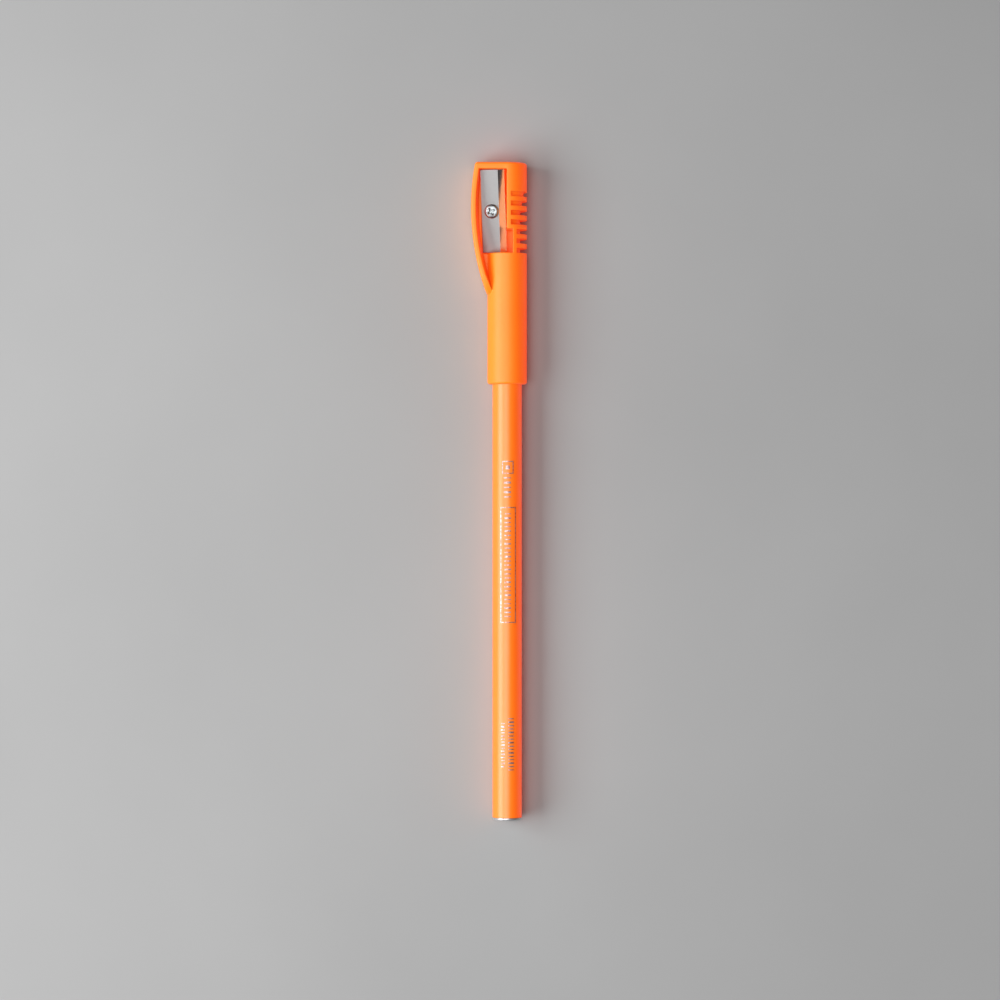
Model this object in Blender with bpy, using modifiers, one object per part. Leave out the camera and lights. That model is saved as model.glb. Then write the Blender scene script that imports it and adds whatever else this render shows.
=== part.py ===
"""A round neon marking pencil in a push-on cap that has a blade sharpener built into its head.

The object lies on its back: +Y runs from the pencil's tail to the mouth of the sharpener, +X runs from
the blade housing to the grip ribs, and +Z points up, out of the face that shows the blade. The origin
is under the middle of the object, on the surface that it lies on. All sizes are in metres.
"""

import math

import bmesh
import bpy
from mathutils import Matrix, Vector

MM = 0.001

# Driving dimensions
LENGTH = 190.0 * MM
CAP_LENGTH = 63.9 * MM
HEAD_LENGTH = 26.4 * MM
SLEEVE_RADIUS = 5.7 * MM
BARREL_RADIUS = 4.25 * MM
LEAD_RADIUS = 2.0 * MM
SHARPENING_ANGLE = math.radians(11.0)  # half of the pencil point's angle
CONE_SLOPE = math.tan(SHARPENING_ANGLE)

# The pencil and the cap share one axis, along Y
HALF_WIDTH = 8.05 * MM
AXIS_X = HALF_WIDTH - SLEEVE_RADIUS
AXIS_Z = SLEEVE_RADIUS
CAP_TOP = LENGTH / 2
CAP_MOUTH = CAP_TOP - CAP_LENGTH
HEAD_START = CAP_TOP - HEAD_LENGTH
TAIL = -LENGTH / 2

# Pencil
POINT_GAP = 0.8 * MM  # between the stored point and the roof of the sleeve
POINT_RADIUS = 0.35 * MM
POINT_STEPS = 4
LACQUER = 0.2 * MM
GLUE_GAP = 0.1 * MM
DIP_LENGTH = 0.75 * MM
DIP_EDGE = 0.45 * MM
SLAT_TIP = 0.02 * MM  # the wood's thickness where the point's cone leaves it

# Sleeve
BORE_RADIUS = 4.6 * MM
ROOF_THICKNESS = 1.6 * MM
SLEEVE_EDGE = 0.7 * MM
BORE_DOME = 1.2 * MM  # the bore's roof slopes up over this much of its height
MOUTH_FLARE = 0.35 * MM
VENT_RADIUS = 0.8 * MM
VENT_OFFSET = 0.5 * MM
GRIP_RIBS = 6
GRIP_RIB_WIDTH = 0.8 * MM
GRIP_RIB_LENGTH = 12.0 * MM
GRIP_RIB_START = 2.0 * MM  # from the mouth
GRIP_RIB_CLEARANCE = 0.05 * MM

# Blade housing, left of the sleeve
FACE_STEP = 0.05 * MM  # the housing's faces lie this much inside the sleeve's crown
SIDE_ARC_RADIUS = 70.0 * MM
SIDE_ARC_CREST = 82.0 * MM  # where along Y the side bulges most
RIM = 1.5 * MM
TOP_BAR = 1.9 * MM
SHELF_DEPTH = 4.6 * MM  # how far the shelf beside the blade lies below the front face
BACK_DEPTH = 2.6 * MM
RECESS_DRAFT = 0.65 * MM  # how much narrower each recess is at its floor
RECESS_EDGE = 0.4 * MM
END_STEP = 0.05 * MM  # between the ends of the recess, the window and the notch
EDGE_STEPS = 4
EDGE_RISE = 0.9  # how much of its radius the rounded edge has below the face
OUTLINE_EDGE = 0.7 * MM
NOSE_LENGTH = 9.0 * MM  # the stretch where the housing thins down onto the sleeve
NOSE_END = 1.5 * MM  # half of its thickness at the end of that stretch
NOSE_CREST = 0.3 * MM  # how far the nose's curve rises past the faces, so that it meets them
NOSE_STEPS = 12

# Sharpener
MOUTH_RADIUS = 4.4 * MM
EDGE_TURN = math.radians(-10.4)  # where the cutting edge lies round the axis, from straight up
BLADE_LENGTH = 24.0 * MM
BLADE_WIDTH = 6.85 * MM
BLADE_THICKNESS = 1.0 * MM
BLADE_BEVEL = 1.75 * MM
EDGE_THICKNESS = 0.06 * MM
BLADE_Y = 81.25 * MM
EDGE_SETBACK = 0.15 * MM
SEAT_GAP = 0.1 * MM
SEAT_FOOT = 3.1 * MM  # the block under the seat reaches down to this height, inside the web
SEAT_TO_EDGE = 0.5 * MM
WINDOW_RIGHT = AXIS_X - 0.1 * MM
WINDOW_BOTTOM = HEAD_START + 0.3 * MM
POCKET_MARGIN = 0.1 * MM
POCKET_ROOM = 0.3 * MM  # above the blade, before the pocket's wall turns upright
NOTCH_LEFT = AXIS_X - 0.5 * MM
NOTCH_RIGHT = AXIS_X + 1.65 * MM
NOTCH_TOP = WINDOW_BOTTOM + 7.0 * MM
NOTCH_FLOOR = 2.6 * MM
THROAT_START = WINDOW_BOTTOM + 3.0 * MM
THROAT_FLOOR = AXIS_Z - 0.5 * MM
MOUTH_LEAD_IN = 0.5 * MM
CONE_TIP_RADIUS = 0.3 * MM

# Screw that holds the blade
SCREW_FROM_REAR = 3.0 * MM
SCREW_HEAD_RADIUS = 2.05 * MM
SCREW_HEAD_HEIGHT = 1.0 * MM
SCREW_DOME = 0.2 * MM
SCREW_SHANK_RADIUS = 1.2 * MM
SCREW_SHANK_LENGTH = 5.0 * MM
SCREW_CLEARANCE = 0.12 * MM
SCREW_BOSS_RADIUS = 2.5 * MM
SCREW_BOSS_FOOT = 0.9 * MM  # height of the boss's flat end above the back
SCREW_HEAD_EDGE = 0.3 * MM
SCREW_TIP_CHAMFER = 0.4 * MM
CROSS_TURN = math.radians(30)
CROSS_LENGTH = 2.5 * MM
CROSS_WIDTH = 0.55 * MM
CROSS_DEPTH = 0.65 * MM

# Grip fins, which are what is left between slots in the right side of the head
SLOT_COUNT = 7
LONG_SLOTS = 4  # counted from the mouth; the rest are shorter, beside the notch
SLOT_PITCH = 2.72 * MM
SLOT_WIDTH = 1.4 * MM
FIRST_SLOT_Y = CAP_TOP - 9.1 * MM
LONG_SLOT_LEFT = AXIS_X + 1.15 * MM
SHORT_SLOT_LEFT = AXIS_X + 2.8 * MM
CORE_RADIUS = 3.75 * MM
CORE_TAPER_START = 80.2 * MM
CORE_TAPER = 0.17

ROUND_STEPS = 64
SMALL_STEPS = 24
ARC_STEPS = 24
REACH = 20.0 * MM  # how far a cutter runs past what it cuts
MERGE_DISTANCE = 0.0005 * MM
OVERLAP = 1.0 * MM  # how far a shape runs past a face or into a neighbour that it joins or cuts

NEON_ORANGE = (1.0, 0.2, 0.02, 1.0)
SILVER = (0.75, 0.75, 0.77, 1.0)
STEEL = (0.6, 0.6, 0.62, 1.0)
WOOD = (0.72, 0.5, 0.3, 1.0)
LEAD_ORANGE = (1.0, 0.14, 0.02, 1.0)


def clear_scene():
    for obj in list(bpy.data.objects):
        bpy.data.objects.remove(obj)


def new_collection(name):
    collection = bpy.data.collections.new(name)
    bpy.context.scene.collection.children.link(collection)
    return collection


clear_scene()
PARTS = new_collection("sharpener_cap_pencil")
TOOLS = new_collection("cutters")


def material(name, colour, roughness, metallic=0.0):
    made = bpy.data.materials.new(name)
    made.use_nodes = True
    shader = made.node_tree.nodes["Principled BSDF"]
    shader.inputs["Base Color"].default_value = colour
    shader.inputs["Roughness"].default_value = roughness
    shader.inputs["Metallic"].default_value = metallic
    return made


def add_object(name, mesh, matrix=None):
    """A helper object in the cutters' collection. finish_part moves a part out of it."""
    obj = bpy.data.objects.new(name, mesh)
    TOOLS.objects.link(obj)
    obj.hide_render = True
    obj.display_type = "WIRE"
    if matrix is not None:
        obj.matrix_world = matrix
    return obj


def finish_part(obj, mat):
    TOOLS.objects.unlink(obj)
    PARTS.objects.link(obj)
    obj.hide_render = False
    obj.display_type = "TEXTURED"
    obj.data.materials.clear()
    obj.data.materials.append(mat)
    return obj


def mesh_from(fill):
    """A mesh made by a function that fills a bmesh."""
    bm = bmesh.new()
    fill(bm)
    mesh = bpy.data.meshes.new("shape")
    bm.to_mesh(mesh)
    bm.free()
    return mesh


def box(name, low, high, matrix=None):
    low, high = Vector(low), Vector(high)
    size, middle = high - low, (high + low) / 2

    def fill(bm):
        bmesh.ops.create_cube(bm, size=1.0)
        bmesh.ops.scale(bm, vec=size, verts=bm.verts)
        bmesh.ops.translate(bm, vec=middle, verts=bm.verts)

    return add_object(name, mesh_from(fill), matrix)


def cylinder(name, radius, low, high, matrix, steps=SMALL_STEPS):
    """A cylinder along the matrix's Z axis, from low to high."""

    def fill(bm):
        bmesh.ops.create_cone(
            bm,
            cap_ends=True,
            segments=steps,
            radius1=radius,
            radius2=radius,
            depth=high - low,
        )
        bmesh.ops.translate(bm, vec=(0, 0, (low + high) / 2), verts=bm.verts)

    return add_object(name, mesh_from(fill), matrix)


# Local X runs along world Y, and local Y along world Z
SIDE_FRAME = Matrix(((0, 0, 1, 0), (1, 0, 0, 0), (0, 1, 0, 0), (0, 0, 0, 1)))
AXIS_FRAME = Matrix.Translation((AXIS_X, 0, AXIS_Z)) @ Matrix.Rotation(
    math.radians(-90), 4, "X"
)


def turned(name, profile, matrix=AXIS_FRAME, steps=ROUND_STEPS):
    """A solid turned about the matrix's Z axis. The profile is (radius, height) pairs, top to bottom."""

    def fill(bm):
        points = [bm.verts.new((radius, 0, height)) for radius, height in profile]
        for first, second in zip(points, points[1:]):
            bm.edges.new((first, second))

    obj = add_object(name, mesh_from(fill), matrix)
    screw = obj.modifiers.new("Screw", "SCREW")
    screw.steps = screw.render_steps = steps
    screw.use_merge_vertices = True
    screw.merge_threshold = MERGE_DISTANCE
    return obj


def quarter(centre, radius, start, count=5):
    """Points of a quarter circle, clockwise from the start angle in degrees."""
    angles = [math.radians(start - 90 * i / count) for i in range(count + 1)]
    return [
        (centre[0] + radius * math.cos(a), centre[1] + radius * math.sin(a))
        for a in angles
    ]


def plate(name, outline, low, high, matrix=None):
    """A flat outline in the matrix's XY plane with thickness from low to high along its Z axis."""
    curve = bpy.data.curves.new(name, "CURVE")
    curve.dimensions = "2D"
    curve.fill_mode = "BOTH"
    curve.extrude = (high - low) / 2
    spline = curve.splines.new("POLY")
    spline.points.add(len(outline) - 1)
    for point, (x, y) in zip(spline.points, outline):
        point.co = (x, y, 0, 1)
    spline.use_cyclic_u = True
    middle = Matrix.Translation((0, 0, (low + high) / 2))
    obj = add_object(name + "_outline", curve, (matrix or Matrix()) @ middle)
    return as_mesh(obj, name)


def loft(name, sections):
    """A solid through outlines of equal length. sections is (outline, height) pairs, in order."""

    def fill(bm):
        rings = [
            [bm.verts.new((x, y, height)) for x, y in outline] for outline, height in sections
        ]
        for ring, following in zip(rings, rings[1:]):
            for i in range(len(ring)):
                bm.faces.new((ring[i - 1], ring[i], following[i], following[i - 1]))
        bm.faces.new(rings[0])
        bm.faces.new(rings[-1])
        bmesh.ops.recalc_face_normals(bm, faces=bm.faces)

    return add_object(name, mesh_from(fill))


def as_mesh(obj, name):
    """The object's evaluated shape as a new welded mesh object. The old object is removed."""
    bpy.context.view_layer.update()
    graph = bpy.context.evaluated_depsgraph_get()
    mesh = bpy.data.meshes.new_from_object(obj.evaluated_get(graph))
    bm = bmesh.new()
    bm.from_mesh(mesh)
    bmesh.ops.remove_doubles(bm, verts=bm.verts, dist=MERGE_DISTANCE)
    bmesh.ops.dissolve_limit(
        bm, angle_limit=math.radians(0.5), verts=bm.verts, edges=bm.edges
    )
    bm.to_mesh(mesh)
    bm.free()
    made = add_object(name, mesh, obj.matrix_world.copy())
    bpy.data.objects.remove(obj)
    return made


def boolean(obj, operation, *others):
    for other in others:
        modifier = obj.modifiers.new(operation.title(), "BOOLEAN")
        modifier.operation = operation
        modifier.solver = "EXACT"
        modifier.object = other
    return obj


def above(obj, height):
    """The part of a shape above a height."""
    room = box(obj.name + "_room", (-REACH, -LENGTH, height), (REACH, LENGTH, REACH))
    return boolean(obj, "INTERSECT", room)


def round_edges(obj, width, segments=3):
    bevel = obj.modifiers.new("Bevel", "BEVEL")
    bevel.width = width
    bevel.segments = segments
    bevel.limit_method = "ANGLE"
    bevel.angle_limit = math.radians(40)
    return obj


def smooth(obj, angle=35):
    obj.data.shade_smooth()
    obj.data.set_sharp_from_angle(angle=math.radians(angle))
    return obj


# The blade's own frame: +Y runs up the cutting edge to the mouth, +X points out past the edge, and +Z
# stands up from the seat, whose plane touches the sharpening cone along the edge.


def blade_frame():
    outward = Vector((math.sin(EDGE_TURN), 0, math.cos(EDGE_TURN)))
    along = Vector((0, 1, 0))
    apex_y = CAP_TOP - MOUTH_RADIUS / math.tan(SHARPENING_ANGLE)
    radius = (BLADE_Y - apex_y) * math.tan(SHARPENING_ANGLE)
    origin = Vector((AXIS_X, BLADE_Y, AXIS_Z)) + radius * outward
    up_edge = (
        math.cos(SHARPENING_ANGLE) * along + math.sin(SHARPENING_ANGLE) * outward
    )
    off_seat = (
        math.cos(SHARPENING_ANGLE) * outward - math.sin(SHARPENING_ANGLE) * along
    )
    past_edge = up_edge.cross(off_seat)
    columns = Matrix((past_edge, up_edge, off_seat)).transposed().to_4x4()
    return Matrix.Translation(origin - EDGE_SETBACK * past_edge) @ columns


BLADE_FRAME = blade_frame()
SECTION_FRAME = BLADE_FRAME @ Matrix.Rotation(math.radians(90), 4, "X")  # looks along the blade
SCREW_FRAME = BLADE_FRAME @ Matrix.Translation((SCREW_FROM_REAR - BLADE_WIDTH, 0, 0))


# Cap


def side_arc(radius, y_from, y_to, count):
    """Points on the housing's bulging side, or on a line inside it when the radius is smaller."""
    centre_x = SIDE_ARC_RADIUS - HALF_WIDTH
    points = []
    for i in range(count + 1):
        y = y_from + (y_to - y_from) * i / count
        points.append(
            (centre_x - math.sqrt(radius**2 - (y - SIDE_ARC_CREST) ** 2), y)
        )
    return points


def side_end_y():
    """Where the housing's side meets the sleeve's left edge."""
    sideways = SIDE_ARC_RADIUS - HALF_WIDTH - (AXIS_X - SLEEVE_RADIUS)
    return SIDE_ARC_CREST - math.sqrt(SIDE_ARC_RADIUS**2 - sideways**2)


def nose():
    """The housing's outline seen from the side: full depth, then a curve down to the sleeve's side."""
    end_y = side_end_y()
    full = AXIS_Z + NOSE_CREST
    curve = []
    for i in range(NOSE_STEPS + 1):
        turn = math.radians(90 * i / NOSE_STEPS)
        y = end_y + NOSE_LENGTH * (1 - math.cos(turn))
        curve.append((y, NOSE_END + (full - NOSE_END) * math.sin(turn)))
    front = [(y, AXIS_Z + half) for y, half in curve]
    back = [(y, AXIS_Z - half) for y, half in reversed(curve)]
    past_top = CAP_TOP + REACH
    outline = front + [(past_top, AXIS_Z + full), (past_top, AXIS_Z - full)] + back
    return plate("nose", outline, -REACH, REACH, SIDE_FRAME)


def recess_outline(flare):
    """The outline of the pit between the rim and the sleeve, widened by the flare."""
    end_y = side_end_y() + RIM
    top_y = CAP_TOP - TOP_BAR - END_STEP + max(flare, 0)
    outline = side_arc(SIDE_ARC_RADIUS - RIM + flare, top_y, end_y, ARC_STEPS)
    return outline + [(AXIS_X, end_y), (AXIS_X, top_y)]


def recess(name, face, depth, outward):
    """A cutter with sloping sides and a rounded edge at the face. outward is 1 or -1, along Z."""
    centre = face - outward * EDGE_RISE * RECESS_EDGE
    sections = [(recess_outline(-RECESS_DRAFT), face - outward * depth)]
    for i in range(EDGE_STEPS + 1):
        turn = math.radians(90 * i / EDGE_STEPS)
        flare = RECESS_EDGE * (1 - math.cos(turn))
        height = centre + outward * RECESS_EDGE * math.sin(turn)
        sections.append((recess_outline(flare), height))
    sections.append((recess_outline(RECESS_EDGE), face + outward * OVERLAP))
    return loft(name, sections)


def housing():
    """The rim, top bar and web beside the sleeve, as one plate with a recess in each face."""
    end_y = side_end_y()
    outline = side_arc(SIDE_ARC_RADIUS, CAP_TOP, end_y, ARC_STEPS)
    outline += [(AXIS_X, end_y), (AXIS_X, CAP_TOP)]
    block = plate("cap_body", outline, FACE_STEP, 2 * AXIS_Z - FACE_STEP)
    boolean(block, "INTERSECT", nose())
    round_edges(block, OUTLINE_EDGE)

    front = recess("front_recess", 2 * AXIS_Z - FACE_STEP, SHELF_DEPTH - FACE_STEP, 1)
    back = recess("back_recess", FACE_STEP, BACK_DEPTH - FACE_STEP, -1)
    return boolean(block, "DIFFERENCE", front, back)


def sleeve_solid():
    """The outside of the sleeve and of the round side of the head."""
    low_edge = quarter(
        (SLEEVE_RADIUS - SLEEVE_EDGE, CAP_MOUTH + SLEEVE_EDGE), SLEEVE_EDGE, 0
    )
    high_edge = quarter(
        (SLEEVE_RADIUS - OUTLINE_EDGE, CAP_TOP - OUTLINE_EDGE), OUTLINE_EDGE, 90
    )
    return turned("sleeve_solid", [(0, CAP_TOP), *high_edge, *low_edge, (0, CAP_MOUTH)])


def seat_block():
    """What carries the blade where its seat rises above the shelf."""
    block = box(
        "seat_block",
        (-BLADE_WIDTH - POCKET_MARGIN, -BLADE_LENGTH / 2, -REACH),
        (-SEAT_TO_EDGE, BLADE_LENGTH / 2 + POCKET_MARGIN, 0),
        BLADE_FRAME,
    )
    return above(block, SEAT_FOOT)


def screw_boss():
    """The round post under the screw, which shows in the back recess."""
    post = cylinder("screw_boss", SCREW_BOSS_RADIUS, -REACH, -OVERLAP, SCREW_FRAME)
    return above(post, SCREW_BOSS_FOOT)


def blade_pocket():
    """The window above the seat. Its left wall hugs the blade, and stands upright above it."""
    left, room = -BLADE_WIDTH - POCKET_MARGIN, SEAT_GAP + BLADE_THICKNESS + POCKET_ROOM
    lean = -math.tan(EDGE_TURN) * (REACH - room)
    section = [(left, 0), (REACH, 0), (REACH, REACH), (left + lean, REACH), (left, room)]
    above_seat = plate("blade_pocket", section, -REACH, REACH, SECTION_FRAME)
    window = box(
        "window",
        (-REACH, WINDOW_BOTTOM, -REACH),
        (WINDOW_RIGHT, CAP_TOP - TOP_BAR, 2 * REACH),
    )
    return boolean(above_seat, "INTERSECT", window)


def throat():
    """The slit past the cutting edge, down into the cone, where the shavings come out."""
    slit = box(
        "throat",
        (-REACH, THROAT_START, THROAT_FLOOR),
        (WINDOW_RIGHT, CAP_TOP - TOP_BAR, AXIS_Z + REACH),
    )
    behind_edge = box(
        "behind_edge", (-REACH, -REACH, -REACH), (0, REACH, REACH), BLADE_FRAME
    )
    return boolean(slit, "DIFFERENCE", behind_edge)


def notch():
    return box(
        "notch",
        (NOTCH_LEFT, WINDOW_BOTTOM - END_STEP, NOTCH_FLOOR),
        (NOTCH_RIGHT, NOTCH_TOP, 2 * AXIS_Z + REACH),
    )


def sharpening_cone():
    """The tapered hole that the pencil goes into, with a lead-in at its mouth."""
    lead_in = MOUTH_LEAD_IN
    tip_y = CAP_TOP - (MOUTH_RADIUS - CONE_TIP_RADIUS) / CONE_SLOPE
    return turned(
        "sharpening_cone",
        [
            (0, CAP_TOP + lead_in),
            (MOUTH_RADIUS + 2 * lead_in, CAP_TOP + lead_in),
            (MOUTH_RADIUS - lead_in * CONE_SLOPE, CAP_TOP - lead_in),
            (CONE_TIP_RADIUS, tip_y),
            (0, tip_y),
        ],
    )


def fin_core():
    """The wall round the cone that the slots stop at."""
    top = CAP_TOP + OVERLAP
    low = HEAD_START - OVERLAP
    return turned(
        "fin_core",
        [
            (0, top),
            (CORE_RADIUS + CORE_TAPER * (top - CORE_TAPER_START), top),
            (CORE_RADIUS, CORE_TAPER_START),
            (CORE_RADIUS, low),
            (0, low),
        ],
    )


def slots():
    """One cutter for each slot between the grip fins."""
    core = fin_core()
    made = []
    for i in range(SLOT_COUNT):
        left = LONG_SLOT_LEFT if i < LONG_SLOTS else SHORT_SLOT_LEFT
        middle = FIRST_SLOT_Y - i * SLOT_PITCH
        slot = box(
            f"slot_{i + 1}",
            (left, middle - SLOT_WIDTH / 2, -REACH),
            (AXIS_X + REACH, middle + SLOT_WIDTH / 2, AXIS_Z + REACH),
        )
        made.append(boolean(slot, "DIFFERENCE", core))
    return made


def sleeve_bore():
    """The space that the pencil is kept in, with a vent through its roof."""
    roof = HEAD_START - ROOF_THICKNESS
    flared = BORE_RADIUS + MOUTH_FLARE
    return turned(
        "sleeve_bore",
        [
            (0, roof + BORE_DOME / 2),
            (BORE_RADIUS - 2 * BORE_DOME, roof + BORE_DOME / 2),
            (BORE_RADIUS, roof - BORE_DOME),
            (BORE_RADIUS, CAP_MOUTH + MOUTH_FLARE),
            (flared, CAP_MOUTH),
            (flared, CAP_MOUTH - OVERLAP),
            (0, CAP_MOUTH - OVERLAP),
        ],
    )


def vent():
    """A small hole through the sleeve's roof into the notch."""
    return cylinder(
        "vent",
        VENT_RADIUS,
        HEAD_START - ROOF_THICKNESS - OVERLAP,
        WINDOW_BOTTOM + OVERLAP,
        AXIS_FRAME @ Matrix.Translation((VENT_OFFSET, 0, 0)),
    )


def grip_ribs():
    """Low ribs inside the sleeve that the barrel slides between."""
    inner = BARREL_RADIUS + GRIP_RIB_CLEARANCE
    start = CAP_MOUTH + GRIP_RIB_START
    made = []
    for i in range(GRIP_RIBS):
        turn = Matrix.Rotation(math.tau * i / GRIP_RIBS, 4, "Z")
        made.append(
            box(
                f"grip_rib_{i + 1}",
                (inner, -GRIP_RIB_WIDTH / 2, start),
                (BORE_RADIUS + OVERLAP / 2, GRIP_RIB_WIDTH / 2, start + GRIP_RIB_LENGTH),
                AXIS_FRAME @ turn,
            )
        )
    return made


def screw_hole():
    return cylinder(
        "screw_hole",
        SCREW_SHANK_RADIUS + SCREW_CLEARANCE,
        -SCREW_SHANK_LENGTH - SCREW_CLEARANCE,
        OVERLAP,
        SCREW_FRAME,
    )


def build_cap(plastic):
    cap = housing()
    boolean(cap, "UNION", sleeve_solid(), seat_block(), screw_boss())
    boolean(cap, "DIFFERENCE", blade_pocket(), throat(), notch(), sharpening_cone())
    boolean(cap, "DIFFERENCE", *slots())
    boolean(cap, "DIFFERENCE", sleeve_bore(), vent(), screw_hole())
    boolean(cap, "UNION", *grip_ribs())
    cap = as_mesh(cap, "cap_body_shape")
    cap.name = "cap_body"
    return smooth(finish_part(cap, plastic))


# Blade and its screw


def build_blade(steel):
    """A flat bar with one long edge ground to a slope on its upper side."""

    def fill(bm):
        section = [
            (-BLADE_WIDTH, SEAT_GAP),
            (0, SEAT_GAP),
            (0, SEAT_GAP + EDGE_THICKNESS),
            (-BLADE_BEVEL, SEAT_GAP + BLADE_THICKNESS),
            (-BLADE_WIDTH, SEAT_GAP + BLADE_THICKNESS),
        ]
        verts = [bm.verts.new((x, -BLADE_LENGTH / 2, z)) for x, z in section]
        face = bm.faces.new(verts)
        made = bmesh.ops.extrude_face_region(bm, geom=[face])
        moved = [v for v in made["geom"] if isinstance(v, bmesh.types.BMVert)]
        bmesh.ops.translate(bm, vec=(0, BLADE_LENGTH, 0), verts=moved)
        bmesh.ops.recalc_face_normals(bm, faces=bm.faces)

    blade = add_object("blade", mesh_from(fill), BLADE_FRAME)
    hole = cylinder(
        "blade_hole",
        SCREW_SHANK_RADIUS + SCREW_CLEARANCE,
        -OVERLAP,
        BLADE_THICKNESS + OVERLAP,
        SCREW_FRAME,
    )
    return finish_part(boolean(blade, "DIFFERENCE", hole), steel)


def build_screw(steel):
    """A low round-headed screw with a cross recess, on the seat's normal."""
    seat = 2 * SEAT_GAP + BLADE_THICKNESS
    top = seat + SCREW_HEAD_HEIGHT
    edge, chamfer = SCREW_HEAD_EDGE, SCREW_TIP_CHAMFER
    tip = -SCREW_SHANK_LENGTH
    shoulder = top - SCREW_DOME
    head_edge = quarter((SCREW_HEAD_RADIUS - edge, shoulder - edge), edge, 70, EDGE_STEPS)
    dome = [(SCREW_HEAD_RADIUS * f, top - SCREW_DOME * f**2) for f in (0, 0.3, 0.6)]
    screw = turned(
        "blade_screw",
        [
            *dome,
            *head_edge,
            (SCREW_HEAD_RADIUS, seat),
            (SCREW_SHANK_RADIUS, seat),
            (SCREW_SHANK_RADIUS, tip + chamfer),
            (SCREW_SHANK_RADIUS - chamfer, tip),
            (0, tip),
        ],
        SCREW_FRAME,
        SMALL_STEPS,
    )
    for i in range(2):
        turn = Matrix.Rotation(CROSS_TURN + math.radians(90 * i), 4, "Z")
        slot = box(
            f"cross_{i + 1}",
            (-CROSS_LENGTH / 2, -CROSS_WIDTH / 2, top - CROSS_DEPTH),
            (CROSS_LENGTH / 2, CROSS_WIDTH / 2, top + OVERLAP),
            SCREW_FRAME @ turn,
        )
        boolean(screw, "DIFFERENCE", slot)
    return smooth(finish_part(screw, steel))


# Pencil

POINT_Y = HEAD_START - ROOF_THICKNESS - POINT_GAP
WOOD_START = TAIL + DIP_LENGTH + GLUE_GAP
# Where the point would be if its end weren't rounded
CONE_TIP_Y = POINT_Y - POINT_RADIUS + POINT_RADIUS / math.sin(SHARPENING_ANGLE)


def cone_y(radius):
    """How far up the sharpened point has the given radius."""
    return CONE_TIP_Y - radius / CONE_SLOPE


def build_lacquer(paint):
    """The coat of colour round the barrel, which ends where the point begins."""
    inner = BARREL_RADIUS - LACQUER
    return smooth(
        finish_part(
            turned(
                "lacquer_coat",
                [
                    (inner, WOOD_START),
                    (inner, cone_y(inner)),
                    (BARREL_RADIUS, cone_y(BARREL_RADIUS)),
                    (BARREL_RADIUS, WOOD_START),
                    (inner, WOOD_START),
                ],
            ),
            paint,
        )
    )


def build_slats(wood):
    """The casing: two grooved slats that meet on the plane through the lead's axis."""
    outer = BARREL_RADIUS - LACQUER - GLUE_GAP
    groove = LEAD_RADIUS + GLUE_GAP
    tip = cone_y(groove) - GLUE_GAP
    made = []
    for name, side in (("slat_front", 1), ("slat_back", -1)):
        slat = turned(
            name,
            [
                (groove, WOOD_START),
                (groove, tip),
                (groove + SLAT_TIP, tip),
                (outer, cone_y(outer)),
                (outer, WOOD_START),
                (groove, WOOD_START),
            ],
        )
        edge = AXIS_Z + side * GLUE_GAP / 2
        other_side = edge - side * REACH
        half = box(
            name + "_half",
            (-REACH, -LENGTH, min(edge, other_side)),
            (REACH, LENGTH, max(edge, other_side)),
        )
        made.append(smooth(finish_part(boolean(slat, "DIFFERENCE", half), wood)))
    return made


def build_lead(colour):
    """The coloured core, with its point rounded by use."""
    tip = POINT_RADIUS
    tangent = math.radians(90) - SHARPENING_ANGLE
    rounding = [math.radians(90) - tangent * i / POINT_STEPS for i in range(POINT_STEPS + 1)]
    point = [(tip * math.cos(a), POINT_Y - tip + tip * math.sin(a)) for a in rounding]
    return smooth(
        finish_part(
            turned(
                "lead",
                [
                    *point,
                    (LEAD_RADIUS, cone_y(LEAD_RADIUS)),
                    (LEAD_RADIUS, WOOD_START),
                    (0, WOOD_START),
                ],
                steps=ROUND_STEPS // 2,
            ),
            colour,
        )
    )


def build_dip(paint):
    """The thick dipped coat that closes the tail."""
    edge = quarter((BARREL_RADIUS - DIP_EDGE, TAIL + DIP_EDGE), DIP_EDGE, 0)
    top = TAIL + DIP_LENGTH
    return smooth(
        finish_part(
            turned("end_dip", [(0, top), (BARREL_RADIUS, top), *edge, (0, TAIL)]),
            paint,
        )
    )


def main():
    build_cap(material("cap_plastic", NEON_ORANGE, 0.35))
    build_blade(material("blade_steel", STEEL, 0.3, 1.0))
    build_screw(material("screw_steel", SILVER, 0.2, 1.0))
    build_lacquer(material("lacquer", NEON_ORANGE, 0.25))
    build_slats(material("wood", WOOD, 0.7))
    build_lead(material("lead_core", LEAD_ORANGE, 0.6))
    build_dip(material("dip_paint", SILVER, 0.3))


main()
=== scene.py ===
"""Looks, light and camera for the neon marking pencil and its sharpener cap."""

import math

import bmesh
import bpy
from mathutils import Matrix, Vector


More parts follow.
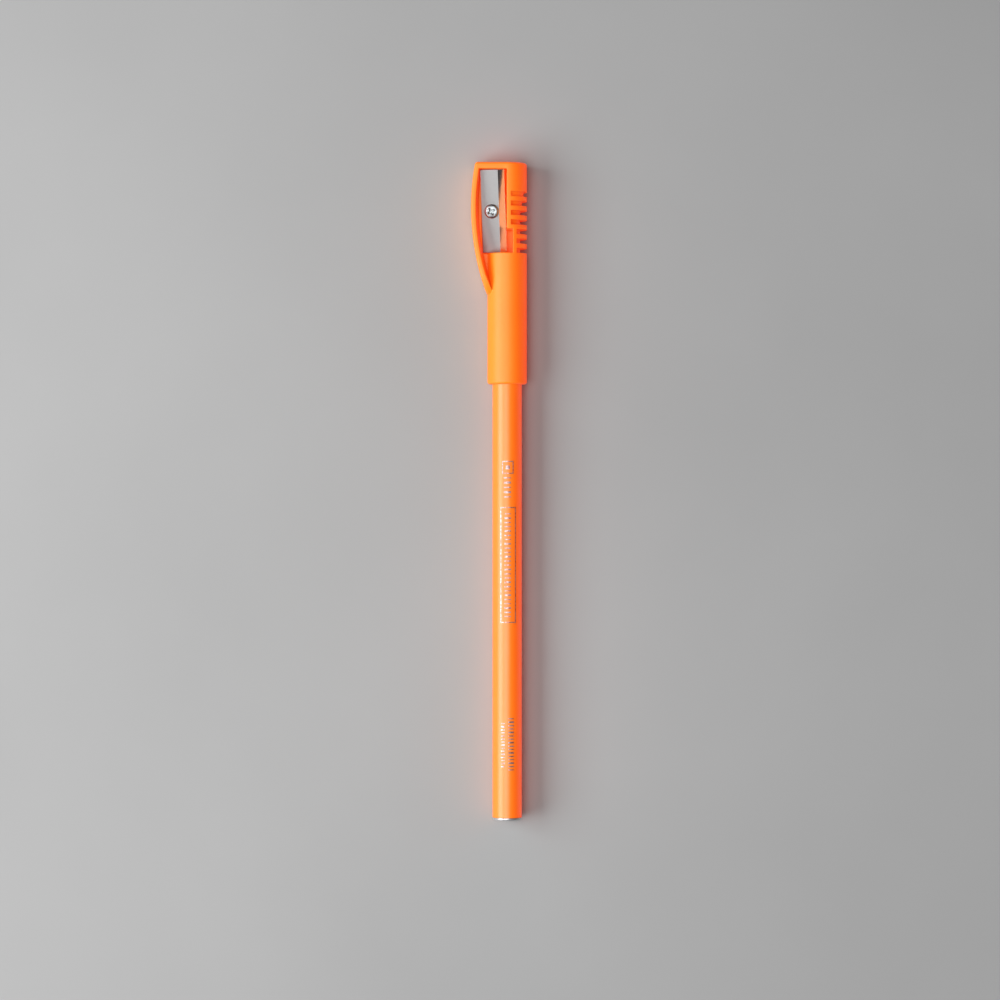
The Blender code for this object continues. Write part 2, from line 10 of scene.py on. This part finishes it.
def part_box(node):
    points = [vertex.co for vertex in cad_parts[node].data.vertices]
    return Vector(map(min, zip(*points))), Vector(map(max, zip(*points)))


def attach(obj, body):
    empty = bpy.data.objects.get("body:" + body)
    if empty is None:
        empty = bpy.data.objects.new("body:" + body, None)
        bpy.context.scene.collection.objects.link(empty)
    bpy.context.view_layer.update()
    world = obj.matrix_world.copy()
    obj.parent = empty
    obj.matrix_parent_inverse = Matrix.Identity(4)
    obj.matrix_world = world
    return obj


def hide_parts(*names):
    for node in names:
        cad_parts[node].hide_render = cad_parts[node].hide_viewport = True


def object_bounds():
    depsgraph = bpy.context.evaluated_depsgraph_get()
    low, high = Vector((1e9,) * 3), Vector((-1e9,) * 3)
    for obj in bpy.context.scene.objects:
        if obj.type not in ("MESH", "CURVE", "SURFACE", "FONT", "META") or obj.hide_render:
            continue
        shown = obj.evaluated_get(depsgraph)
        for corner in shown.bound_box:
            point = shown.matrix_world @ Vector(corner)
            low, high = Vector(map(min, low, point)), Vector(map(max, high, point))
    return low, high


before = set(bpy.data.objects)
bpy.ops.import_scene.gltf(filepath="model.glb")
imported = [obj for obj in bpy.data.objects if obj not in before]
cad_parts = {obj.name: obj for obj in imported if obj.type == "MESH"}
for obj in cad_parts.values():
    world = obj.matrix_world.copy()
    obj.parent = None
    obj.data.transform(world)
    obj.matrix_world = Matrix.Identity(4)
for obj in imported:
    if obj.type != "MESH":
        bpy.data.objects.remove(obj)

CAD_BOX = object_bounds()
MM = 0.001

# Places, all from the frame
COAT_LOW, COAT_HIGH = (Vector(corner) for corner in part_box("lacquer_coat"))
BARREL_RADIUS = (COAT_HIGH.x - COAT_LOW.x) / 2
AXIS_X = (COAT_HIGH.x + COAT_LOW.x) / 2
AXIS_Z = (COAT_HIGH.z + COAT_LOW.z) / 2

# The blade's seat: its normal, its direction past the cutting edge, and the screw's place on it
SEAT_NORMAL = Vector((-0.17720, -0.19081, 0.96550))
PAST_EDGE = Vector((0.98357, 0.0, 0.18052))
SCREW_PLACE = Vector((-1.8963, 81.25, 6.6768)) * MM
CREASE = 1.44 * MM  # how far along PAST_EDGE the ground bevel begins
BEVEL_BLEND = 0.06 * MM

# Screw, along its axis from the seat
HEAD_RADIUS = 2.05 * MM
HEAD_FOOT = 1.12 * MM
HEAD_EDGE = 1.55 * MM
HEAD_TOP = 2.2 * MM
SHANK_RADIUS = 1.2 * MM
SHANK_END = -5.0 * MM
THREAD_PITCH = 0.8 * MM
THREAD_DEPTH = 0.16 * MM
THREAD_START = -0.3 * MM
TIP_TAPER = 0.4 * MM
HEAD_CROWN_DROP = 0.2 * MM
HEAD_ROUND_ACROSS = 0.42 * MM
HEAD_ROUND_UP = 0.48 * MM
HEAD_FOOT_STEP = 0.06 * MM
HEAD_ROUND_TURN = 75  # degrees
HEAD_ROUND_STEPS = 7
SCREW_STEPS = 64
SCREW_EDGE = 0.05 * MM
SCREW_BEVEL_ANGLE = math.radians(40)

# Cross recess: (length, width) of its bars above the head and at the bottom, and how it is turned
RECESS_ABOVE = (3.1 * MM, 0.85 * MM)
RECESS_BELOW = (1.3 * MM, 0.35 * MM)
RECESS_RISE = 0.3 * MM
RECESS_DEPTH = 0.85 * MM
RECESS_TURNS = (math.radians(30), math.radians(120))

# Softened edges. The cap's are rounded in shading, the blade's in its mesh
CAP_EDGE = 0.4 * MM
BLADE_EDGE = 0.04 * MM
WELD = 0.001 * MM
FLAT_ANGLE = math.radians(1)
BEVEL_ANGLE = math.radians(30)
SHARP_ANGLE = math.radians(35)
BEVEL_SEGMENTS = 2

# Camera: straight down at the lying object
CAMERA_HEIGHT = 0.95
CAMERA_LENS = 117.4
CAMERA_OFFSET = Vector((0.29, -2.38, 0)) * MM

# Foil print
FOIL_LIFT = 0.02 * MM
FOIL_LINE = 0.28 * MM
FOIL_STEP = 0.3 * MM  # widest flat of a curved patch

# Stage
FLOOR_HALF = 2.0
WORLD_LIGHT = 0.05
KEY_PLACE = (-0.7, -0.08, 0.52)
KEY_SIZE = (0.8, 0.5)
KEY_POWER = 6.4
TOP_PLACE = (-0.15, -0.1, 1.0)
TOP_SIZE = (0.6, 0.6)
TOP_POWER = 4.0


# Shader helpers


class Nodes:
    """A material's node tree, with short calls for the nodes that are used here."""

    def __init__(self, name):
        self.material = bpy.data.materials.new(name)
        self.material.use_nodes = True
        self.tree = self.material.node_tree
        self.shader = self.tree.nodes["Principled BSDF"]

    def add(self, kind, **values):
        node = self.tree.nodes.new(kind)
        for key, value in values.items():
            setattr(node, key, value)
        return node

    def link(self, output, target):
        self.tree.links.new(output, target)

    def set(self, **values):
        """Sets the shader's sockets. A name's underscores stand for spaces."""
        for key, value in values.items():
            self.shader.inputs[key.replace("_", " ")].default_value = value

    def place(self, stretch=(1, 1, 1)):
        """Object coordinates, stretched."""
        coordinates = self.add("ShaderNodeTexCoord")
        mapping = self.add("ShaderNodeMapping")
        mapping.inputs["Scale"].default_value = stretch
        self.link(coordinates.outputs["Object"], mapping.inputs["Vector"])
        return mapping.outputs["Vector"]

    def noise(self, scale, detail=3.0, stretch=(1, 1, 1)):
        """Noise, with scale in waves per metre."""
        node = self.add("ShaderNodeTexNoise")
        node.inputs["Scale"].default_value = scale
        node.inputs["Detail"].default_value = detail
        self.link(self.place(stretch), node.inputs["Vector"])
        return node.outputs["Fac"]

    def ramp(self, value, stops):
        """A colour ramp. stops is (position, colour) pairs."""
        node = self.add("ShaderNodeValToRGB")
        elements = node.color_ramp.elements
        for element, (position, colour) in zip(elements, stops):
            element.position = position
            element.color = colour
        for position, colour in stops[2:]:
            elements.new(position).color = colour
        self.link(value, node.inputs["Fac"])
        return node.outputs["Color"]

    def span(self, value, low, high):
        """value from 0 to 1 becomes low to high."""
        node = self.add("ShaderNodeMapRange")
        node.inputs["To Min"].default_value = low
        node.inputs["To Max"].default_value = high
        self.link(value, node.inputs["Value"])
        return node.outputs["Result"]

    def mix(self, factor, first, second):
        node = self.add("ShaderNodeMix", data_type="FLOAT")
        self.link(factor, node.inputs["Factor"])
        self.link(first, node.inputs["A"])
        self.link(second, node.inputs["B"])
        return node.outputs["Result"]

    def beyond(self, direction, distance, blend):
        """0 before a plane that lies square to the direction at the distance, and 1 past it."""
        coordinates = self.add("ShaderNodeTexCoord")
        dot = self.add("ShaderNodeVectorMath", operation="DOT_PRODUCT")
        dot.inputs[1].default_value = direction
        self.link(coordinates.outputs["Object"], dot.inputs[0])
        node = self.add("ShaderNodeMapRange")
        node.inputs["From Min"].default_value = distance - blend
        node.inputs["From Max"].default_value = distance + blend
        self.link(dot.outputs["Value"], node.inputs["Value"])
        return node.outputs["Result"]

    def bump(self, height, distance, strength=1.0, edge=None):
        """Fine relief. With an edge radius, sharp edges also catch the light as if rounded."""
        node = self.add("ShaderNodeBump")
        if edge is not None:
            soft = self.add("ShaderNodeBevel", samples=8)
            soft.inputs["Radius"].default_value = edge
            self.link(soft.outputs["Normal"], node.inputs["Normal"])
        node.inputs["Strength"].default_value = strength
        node.inputs["Distance"].default_value = distance
        self.link(height, node.inputs["Height"])
        self.link(node.outputs["Normal"], self.shader.inputs["Normal"])

    def glow(self, strength, reach):
        """A painted glow that stands in for fluorescence, dimmed to painted shade where ambient
        occlusion finds the surface shut in.
        """
        open_air = self.add("ShaderNodeAmbientOcclusion", samples=6)
        open_air.inputs["Distance"].default_value = reach
        # Painted shade: the glow colour dims where ambient occlusion finds a recess
        shade = self.ramp(open_air.outputs["AO"], [(0.25, GLOW_IN_PAINTED_SHADE), (0.85, GLOW)])
        self.link(shade, self.shader.inputs["Emission Color"])
        self.set(Emission_Strength=strength)

    def colour(self, value):
        self.link(value, self.shader.inputs["Base Color"])

    def roughness(self, value):
        self.link(value, self.shader.inputs["Roughness"])


def grey(value):
    return (value, value, value, 1)


# Painted glow standing in for the dye's fluorescence: its emission colour in the open, and a
# dimmer one painted as shade in narrow places
GLOW = (1.0, 0.012, 0.0, 1)
GLOW_IN_PAINTED_SHADE = (0.6, 0.005, 0.0, 1)
GLOW_STRENGTH = 0.82
GLOW_REACH = 6 * MM


# Materials


def neon_plastic():
    """Moulded fluorescent plastic: fine mould texture, slight flow marks along the cap."""
    mat = Nodes("neon_plastic")
    mat.set(
        IOR=1.5,
        Specular_IOR_Level=0.8,
        Sheen_Weight=0.04,
        Sheen_Roughness=0.5,
    )
    # Painted glow standing in for fluorescence, with painted shade in recesses
    mat.glow(GLOW_STRENGTH, GLOW_REACH)
    flow = mat.noise(180, 4, (1, 0.3, 1))
    mat.colour(mat.ramp(flow, [(0.3, (0.42, 0.35, 0.005, 1)), (0.7, (0.44, 0.38, 0.007, 1))]))
    mat.roughness(mat.span(mat.noise(900), 0.46, 0.56))
    mat.bump(mat.noise(6000, 2), 0.004 * MM, 0.5, CAP_EDGE)
    return mat.material


def neon_lacquer():
    """Dipped fluorescent lacquer: glossy, with slow ripples from the wood below it."""
    mat = Nodes("neon_lacquer")
    mat.set(
        IOR=1.5,
        Specular_IOR_Level=0.8,
        Sheen_Weight=0.04,
        Sheen_Roughness=0.4,
        Coat_Weight=0.6,
        Coat_Roughness=0.35,
    )
    # Painted glow standing in for fluorescence, with painted shade in recesses
    mat.glow(GLOW_STRENGTH, GLOW_REACH)
    tone = mat.noise(120, 3, (1, 0.15, 1))
    mat.colour(mat.ramp(tone, [(0.3, (0.42, 0.33, 0.005, 1)), (0.7, (0.44, 0.36, 0.007, 1))]))
    mat.roughness(mat.span(mat.noise(700), 0.36, 0.46))
    mat.bump(mat.noise(500, 3, (1, 0.12, 1)), 0.02 * MM, 0.5)
    return mat.material


def ground_steel():
    """Blade steel: fine grinding lines, and a brighter, smoother ground bevel."""
    mat = Nodes("ground_steel")
    mat.set(Metallic=1.0)
    lines = mat.noise(9000, 2, (0.04, 1, 0.3))
    on_bevel = mat.beyond(PAST_EDGE, CREASE, BEVEL_BLEND)
    mat.colour(mat.mix(on_bevel, mat.span(lines, 0.27, 0.32), mat.span(lines, 0.72, 0.8)))
    satin = mat.span(mat.noise(2500), 0.42, 0.5)
    mat.roughness(mat.mix(on_bevel, satin, mat.span(lines, 0.2, 0.26)))
    mat.bump(lines, 0.001 * MM, 0.3)
    return mat.material


def plated_steel():
    """Plating on the screw, a little cloudy."""
    mat = Nodes("plated_steel")
    mat.set(Metallic=1.0)
    cloud = mat.noise(1500)
    mat.colour(mat.ramp(cloud, [(0.3, (0.36, 0.39, 0.4, 1)), (0.7, (0.44, 0.47, 0.48, 1))]))
    mat.roughness(mat.span(cloud, 0.28, 0.38))
    mat.bump(mat.noise(4000), 0.003 * MM, 0.3)
    return mat.material


def bare_wood():
    """Cut casing wood with grain along the pencil."""
    mat = Nodes("bare_wood")
    grain = mat.noise(1400, 6, (1, 0.04, 1))
    mat.colour(mat.ramp(grain, [(0.3, (0.42, 0.22, 0.1, 1)), (0.65, (0.68, 0.43, 0.24, 1))]))
    mat.roughness(mat.span(grain, 0.55, 0.75))
    mat.bump(grain, 0.03 * MM, 0.6)
    return mat.material


def wax_lead():
    """The coloured core: waxy, with turning marks from the blade."""
    mat = Nodes("wax_lead")
    # Painted glow: a constant emission standing in for the core's fluorescence
    mat.set(Emission_Color=(1.0, 0.04, 0.0, 1), Emission_Strength=0.4)
    speck = mat.noise(3000, 4)
    mat.colour(mat.ramp(speck, [(0.3, (0.95, 0.12, 0.01, 1)), (0.7, (1.0, 0.2, 0.02, 1))]))
    mat.roughness(mat.span(speck, 0.45, 0.6))
    mat.bump(mat.noise(2500, 3, (1, 0.3, 1)), 0.02 * MM, 0.5)
    return mat.material


def silver_paint():
    """The pale metallic dip at the tail."""
    mat = Nodes("silver_paint")
    mat.set(Metallic=0.6)
    fleck = mat.noise(5000, 2)
    mat.colour(mat.ramp(fleck, [(0.35, grey(0.62)), (0.65, grey(0.82))]))
    mat.roughness(mat.span(mat.noise(900), 0.28, 0.42))
    mat.bump(fleck, 0.004 * MM, 0.3)
    return mat.material


def foil():
    """Hot-stamped silver foil, worn in places so that the orange shows through, with a painted
    reflection of the orange barrel tinting the silver pink.
    """
    mat = Nodes("foil")
    mat.set(Metallic=0.7)
    wear = mat.noise(1600, 4)
    # The pale stop's pink tint is a painted reflection of the orange barrel; the orange stop is
    # wear
    mat.colour(mat.ramp(wear, [(0.38, (0.62, 0.24, 0.16, 1)), (0.6, (0.72, 0.6, 0.62, 1))]))
    mat.roughness(mat.span(wear, 0.5, 0.3))
    mat.bump(mat.noise(3000), 0.006 * MM, 0.5)
    return mat.material


def floor_paint():
    mat = Nodes("floor_paint")
    tone = mat.noise(8, 4)
    mat.colour(mat.ramp(tone, [(0.3, (0.5, 0.5, 0.5, 1)), (0.7, (0.54, 0.54, 0.54, 1))]))
    mat.roughness(mat.span(mat.noise(60), 0.75, 0.85))
    return mat.material


# Pieces


def new_object(name, mesh):
    obj = bpy.data.objects.new(name, mesh)
    bpy.context.scene.collection.objects.link(obj)
    return obj


def paint(obj, mat):
    obj.data.materials.clear()
    obj.data.materials.append(mat)


def on_barrel(across, along, lift):
    """A point on the barrel's front, across its axis by an arc length and at a place along it."""
    turn = across / BARREL_RADIUS
    radius = BARREL_RADIUS + lift
    return (
        AXIS_X + radius * math.sin(turn),
        along,
        AXIS_Z + radius * math.cos(turn),
    )


def foil_patch(bm, across, along):
    """A thin curved slab of foil. across and along are (low, high)."""
    columns = max(1, math.ceil((across[1] - across[0]) / FOIL_STEP))
    layers = []
    for lift in (FOIL_LIFT, -FOIL_LIFT):
        rows = []
        for y in along:
            step = (across[1] - across[0]) / columns
            places = [on_barrel(across[0] + i * step, y, lift) for i in range(columns + 1)]
            rows.append([bm.verts.new(place) for place in places])
        layers.append(rows)
    (top_low, top_high), (under_low, under_high) = layers
    for i in range(columns):
        bm.faces.new((top_low[i], top_low[i + 1], top_high[i + 1], top_high[i]))
        bm.faces.new((under_low[i], under_high[i], under_high[i + 1], under_low[i + 1]))
        bm.faces.new((under_low[i], under_low[i + 1], top_low[i + 1], top_low[i]))
        bm.faces.new((top_high[i], top_high[i + 1], under_high[i + 1], under_high[i]))
    bm.faces.new((under_low[0], top_low[0], top_high[0], under_high[0]))
    bm.faces.new((under_low[-1], under_high[-1], top_high[-1], top_low[-1]))


def foil_frame(bm, across, along):
    """Four lines of foil round a rectangle."""
    (left, right), (low, high) = across, along
    line = FOIL_LINE
    foil_patch(bm, (left, left + line), (low, high))
    foil_patch(bm, (right - line, right), (low, high))
    foil_patch(bm, (left + line, right - line), (low, low + line))
    foil_patch(bm, (left + line, right - line), (high - line, high))


def foil_bars(bm, across, start, end, widths, gap):
    """A row of plain bars across the barrel, running down from start to end."""
    y, i = start, 0
    while y - widths[i % len(widths)] > end:
        width = widths[i % len(widths)]
        foil_patch(bm, across, (y - width, y))
        y -= width + gap
        i += 1


def foil_print(mat):
    """A generic print: a small frame, two groups of bars and one long framed row of bars."""
    bm = bmesh.new()
    foil_frame(bm, (-1.5 * MM, 1.9 * MM), (5.2 * MM, 8.9 * MM))
    foil_patch(bm, (-0.4 * MM, 0.8 * MM), (6.5 * MM, 7.6 * MM))
    foil_bars(bm, (-1.0 * MM, 1.1 * MM), 4.2 * MM, -2.9 * MM, (0.35 * MM, 0.6 * MM), 0.9 * MM)
    foil_frame(bm, (-2.0 * MM, 2.7 * MM), (-37.8 * MM, -4.4 * MM))
    bars = (0.3 * MM, 0.5 * MM, 0.35 * MM)
    foil_bars(bm, (-0.8 * MM, 1.1 * MM), -6.2 * MM, -36.4 * MM, bars, 0.85 * MM)
    foil_bars(bm, (-1.8 * MM, -0.7 * MM), -66.7 * MM, -79.6 * MM, bars, 0.5 * MM)
    foil_bars(bm, (0.3 * MM, 2.0 * MM), -65.3 * MM, -80.9 * MM, bars, 0.6 * MM)
    bmesh.ops.recalc_face_normals(bm, faces=bm.faces)
    mesh = bpy.data.meshes.new("foil_print")
    bm.to_mesh(mesh)
    bm.free()
    obj = new_object("foil_print", mesh)
    paint(obj, mat)
    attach(obj, "pencil")


def softened(node, name, width, mat):
    """A copy of a CAD node with its edges a little rounded, which stands for the node."""
    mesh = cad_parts[node].data.copy()
    bm = bmesh.new()
    bm.from_mesh(mesh)
    bmesh.ops.remove_doubles(bm, verts=bm.verts, dist=WELD)
    bmesh.ops.dissolve_limit(bm, angle_limit=FLAT_ANGLE, verts=bm.verts, edges=bm.edges)
    bm.to_mesh(mesh)
    bm.free()
    mesh.shade_smooth()
    mesh.set_sharp_from_angle(angle=SHARP_ANGLE)
    obj = new_object(name, mesh)
    bevel = obj.modifiers.new("Bevel", "BEVEL")
    bevel.width = width
    bevel.segments = BEVEL_SEGMENTS
    bevel.limit_method = "ANGLE"
    bevel.angle_limit = BEVEL_ANGLE
    bevel.use_clamp_overlap = False
    bevel.harden_normals = True
    paint(obj, mat)
    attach(obj, "cap")
    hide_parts(node)


def spun(profile, steps):
    """A bmesh turned about Z from (radius, height) pairs, whose first and last lie on the axis."""
    bm = bmesh.new()
    rings = []
    for radius, height in profile:
        count = 1 if radius == 0 else steps
        turns = [math.tau * i / steps for i in range(count)]
        places = [(radius * math.cos(t), radius * math.sin(t), height) for t in turns]
        rings.append([bm.verts.new(place) for place in places])
    for low, high in zip(rings, rings[1:]):
        for i in range(steps):
            j = (i + 1) % steps
            corners = [
                low[i % len(low)],
                low[j % len(low)],
                high[j % len(high)],
                high[i % len(high)],
            ]
            bm.faces.new(list(dict.fromkeys(corners)))
    bmesh.ops.recalc_face_normals(bm, faces=bm.faces)
    return bm


def head_profile():
    """The pan head from its crown down to its foot: a low dome that turns down at its edge."""
    shares = (0, 0.2, 0.4, 0.6, 0.75)
    crown = [(HEAD_RADIUS * f, HEAD_TOP - HEAD_CROWN_DROP * f**2) for f in shares]
    side = []
    for i in range(HEAD_ROUND_STEPS + 1):
        turn = math.radians(HEAD_ROUND_TURN - HEAD_ROUND_TURN * i / HEAD_ROUND_STEPS)
        across = HEAD_RADIUS - HEAD_ROUND_ACROSS * (1 - math.cos(turn))
        side.append((across, HEAD_EDGE + HEAD_ROUND_UP * math.sin(turn)))
    foot = [(HEAD_RADIUS - HEAD_FOOT_STEP, HEAD_FOOT), (SHANK_RADIUS, HEAD_FOOT)]
    return crown + side + foot


def shank_profile():
    """The threaded shank from under the head to its tip, as a row of ridges."""
    points = [(SHANK_RADIUS, -0.1 * MM)]
    height = THREAD_START
    while height > SHANK_END + THREAD_PITCH:
        points.append((SHANK_RADIUS - THREAD_DEPTH, height))
        points.append((SHANK_RADIUS, height - THREAD_PITCH / 2))
        height -= THREAD_PITCH
    return points + [(SHANK_RADIUS - TIP_TAPER, SHANK_END), (0, SHANK_END)]


def recess_cutter():
    """A tapered cross: two bars, both narrower at the bottom."""
    bm = bmesh.new()
    for turn in RECESS_TURNS:
        made = bmesh.ops.create_cube(bm, size=1.0)["verts"]
        for vert in made:
            low = vert.co.z < 0
            length, width = RECESS_BELOW if low else RECESS_ABOVE
            height = HEAD_TOP - RECESS_DEPTH if low else HEAD_TOP + RECESS_RISE
            vert.co = Vector((vert.co.x * length, vert.co.y * width, height))
        bmesh.ops.rotate(bm, verts=made, matrix=Matrix.Rotation(turn, 3, "Z"))
    mesh = bpy.data.meshes.new("recess_cutter")
    bm.to_mesh(mesh)
    bm.free()
    return mesh


def apply_modifiers(obj):
    """Applies the object's modifiers to its mesh."""
    bpy.context.view_layer.update()
    graph = bpy.context.evaluated_depsgraph_get()
    mesh = bpy.data.meshes.new_from_object(obj.evaluated_get(graph))
    obj.modifiers.clear()
    obj.data = mesh


def screw(mat):
    """The blade's screw, with a cross recess in a low dome."""
    bm = spun(head_profile() + shank_profile(), SCREW_STEPS)
    mesh = bpy.data.meshes.new("screw")
    bm.to_mesh(mesh)
    bm.free()
    obj = new_object("pan_screw", mesh)
    cutter = new_object("recess_cutter", recess_cutter())
    cut = obj.modifiers.new("Recess", "BOOLEAN")
    cut.object = cutter
    cut.solver = "EXACT"
    cut.use_self = True
    bevel = obj.modifiers.new("Bevel", "BEVEL")
    bevel.width = SCREW_EDGE
    bevel.segments = BEVEL_SEGMENTS
    bevel.limit_method = "ANGLE"
    bevel.angle_limit = SCREW_BEVEL_ANGLE
    apply_modifiers(obj)
    bpy.data.objects.remove(cutter)
    upright = Vector((0, 0, 1)).rotation_difference(SEAT_NORMAL).to_matrix().to_4x4()
    obj.data.transform(Matrix.Translation(SCREW_PLACE) @ upright)
    obj.data.shade_smooth()
    obj.data.set_sharp_from_angle(angle=SHARP_ANGLE)
    paint(obj, mat)
    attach(obj, "cap")
    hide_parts("blade_screw")


def dress_frame():
    finishes = {
        "cap_body": neon_plastic(),
        "lacquer_coat": neon_lacquer(),
        "lead": wax_lead(),
        "end_dip": silver_paint(),
    }
    wood = bare_wood()
    finishes["slat_front"] = wood
    finishes["slat_back"] = wood
    for node, mat in finishes.items():
        for material_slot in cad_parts[node].material_slots:
            material_slot.material = mat


# Stage


def build_floor():
    bm = bmesh.new()
    bmesh.ops.create_grid(bm, x_segments=1, y_segments=1, size=FLOOR_HALF)
    mesh = bpy.data.meshes.new("floor")
    bm.to_mesh(mesh)
    bm.free()
    floor = new_object("floor", mesh)
    floor.location.z = CAD_BOX[0].z
    paint(floor, floor_paint())


def area_light(name, place, size, power):
    """A rectangular light that is aimed at the origin."""
    light = bpy.data.lights.new(name, "AREA")
    light.shape = "RECTANGLE"
    light.size, light.size_y = size
    light.energy = power
    obj = new_object(name, light)
    obj.location = place
    obj.rotation_euler = (-Vector(place)).to_track_quat("-Z", "Y").to_euler()


def build_lights():
    """A broad soft light on the left, a weaker one overhead, and a little from all round."""
    bpy.context.scene.view_settings.view_transform = "Standard"
    world = bpy.data.worlds.new("studio")
    bpy.context.scene.world = world
    world.use_nodes = True
    background = world.node_tree.nodes["Background"]
    background.inputs["Color"].default_value = (0.97, 0.98, 1.0, 1)
    background.inputs["Strength"].default_value = WORLD_LIGHT
    area_light("key", KEY_PLACE, KEY_SIZE, KEY_POWER)
    area_light("overhead", TOP_PLACE, TOP_SIZE, TOP_POWER)


def build_camera():
    data = bpy.data.cameras.new("camera")
    data.lens = CAMERA_LENS
    data.sensor_width = 36
    data.clip_start = 0.01
    camera = new_object("camera", data)
    middle = (CAD_BOX[0] + CAD_BOX[1]) / 2
    camera.location = (
        middle.x + CAMERA_OFFSET.x,
        middle.y + CAMERA_OFFSET.y,
        CAMERA_HEIGHT,
    )
    bpy.context.scene.camera = camera


build_camera()
build_lights()
build_floor()
dress_frame()
softened("blade", "blade_shell", BLADE_EDGE, ground_steel())
screw(plated_steel())
foil_print(foil())
